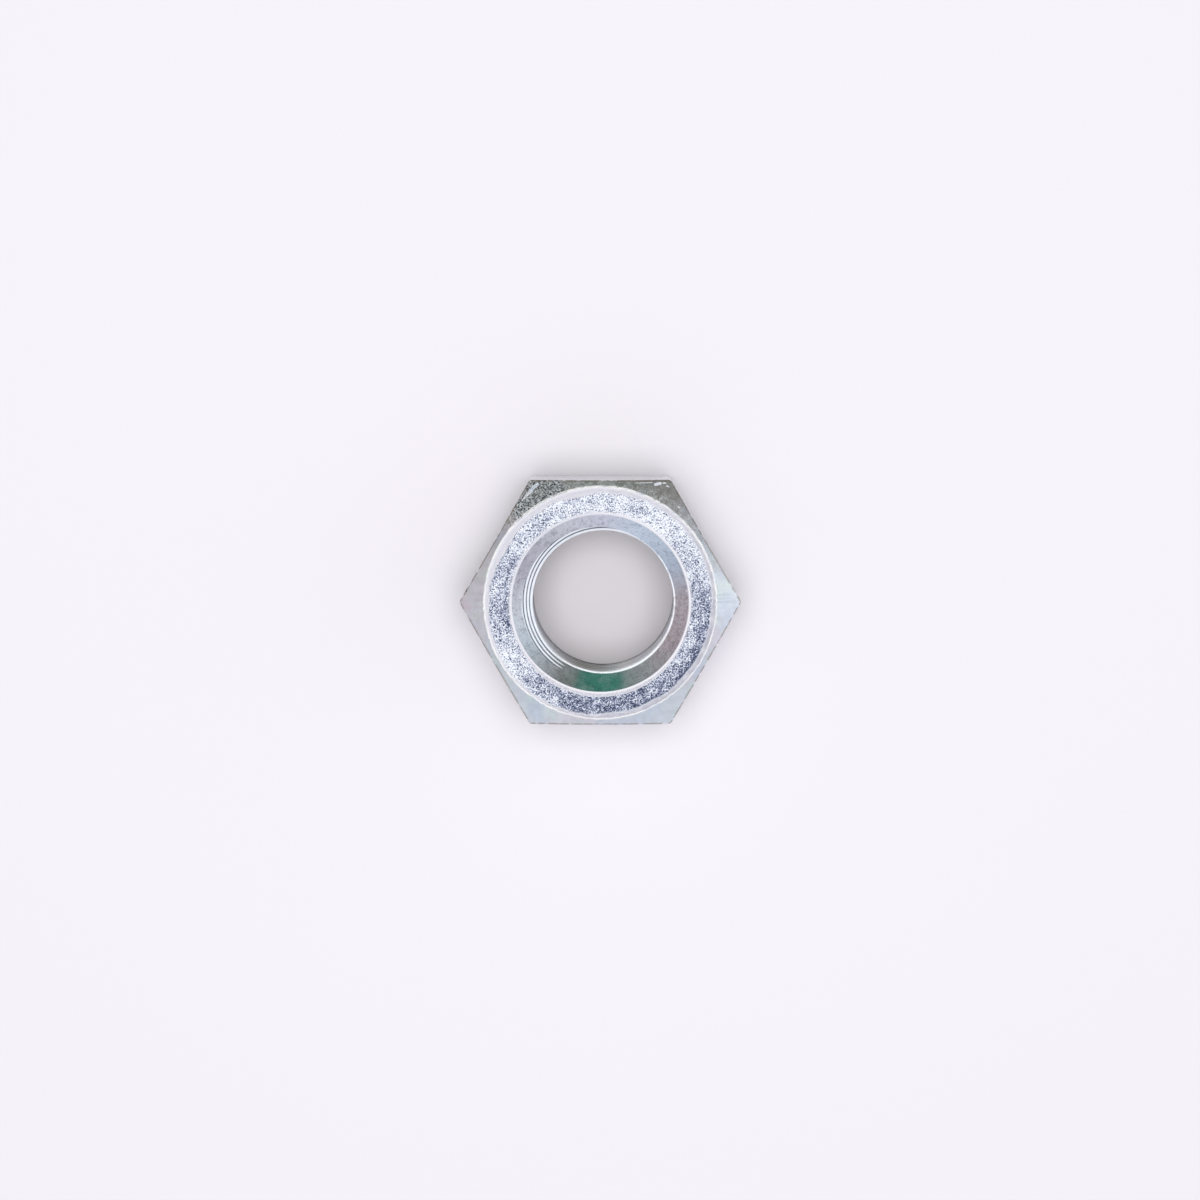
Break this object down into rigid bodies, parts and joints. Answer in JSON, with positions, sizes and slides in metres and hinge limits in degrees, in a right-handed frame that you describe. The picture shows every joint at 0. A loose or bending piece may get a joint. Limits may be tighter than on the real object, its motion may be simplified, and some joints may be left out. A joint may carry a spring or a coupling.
{
  "type": "hex nut",
  "caption": "Zinc-plated steel hexagon nut with chamfered corners, countersunk mouths and a coarse metric right-hand thread",
  "frame": {"origin": "centre of the lower bearing face, on the thread's axis", "axes": "+Z along the thread's axis, up through the nut; +X through a corner; +Y square to a spanner flat"},
  "size_m": [0.0278, 0.024, 0.013],
  "materials": {
    "zinc_plated_steel": "bright bluish zinc plating over forged steel: grainy and sparkling on the bearing faces, smooth on the chamfers, countersinks and thread"
  },
  "bodies": {
    "root": {"hex_nut": "zinc_plated_steel"}
  },
  "joints": []
}
